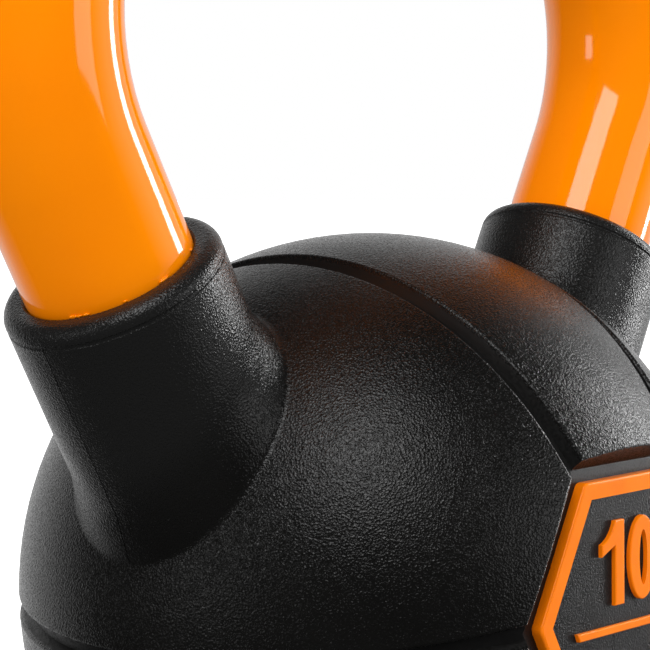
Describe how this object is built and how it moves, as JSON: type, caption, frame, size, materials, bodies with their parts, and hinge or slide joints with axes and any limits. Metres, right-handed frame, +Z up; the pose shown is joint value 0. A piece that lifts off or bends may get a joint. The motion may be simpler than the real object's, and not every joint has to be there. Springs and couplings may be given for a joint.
{
  "type": "kettlebell",
  "caption": "Rubber-jacketed ball weight with a bent tube handle on two collars, a flat base, and a hexagonal weight badge on each face.",
  "frame": {"origin": "on the floor, at the middle of the flat base", "axes": "+Z up through the middle of the grip; +X along the grip towards the right leg, seen from the front badge; -Y out of the front badge"},
  "size_m": [0.2317, 0.1372, 0.252],
  "materials": {
    "core_iron": "as cast, machined flats",
    "handle_paint": "glossy orange paint on steel tube",
    "jacket_rubber": "black rubber with a fine leather grain, satin",
    "plain_steel": "plain mild steel, hidden inside",
    "badge_dark": "dark grey moulded plastic with a fine matt grain",
    "badge_orange": "satin orange moulded plastic"
  },
  "bodies": {
    "root": {"cast_core": "core_iron", "handle_tube": "handle_paint", "jacket_front": "jacket_rubber", "jacket_rear": "jacket_rubber", "left_tube_plug": "plain_steel", "right_tube_plug": "plain_steel", "left_cross_pin": "plain_steel", "right_cross_pin": "plain_steel", "left_weld_bead": "plain_steel", "right_weld_bead": "plain_steel", "front_badge_plate": "badge_dark", "rear_badge_plate": "badge_dark", "front_badge_frame": "badge_orange", "rear_badge_frame": "badge_orange", "front_digit_one": "badge_orange", "rear_digit_one": "badge_orange", "front_digit_zero": "badge_orange", "rear_digit_zero": "badge_orange", "front_badge_bar": "badge_orange", "rear_badge_bar": "badge_orange"}
  },
  "joints": []
}
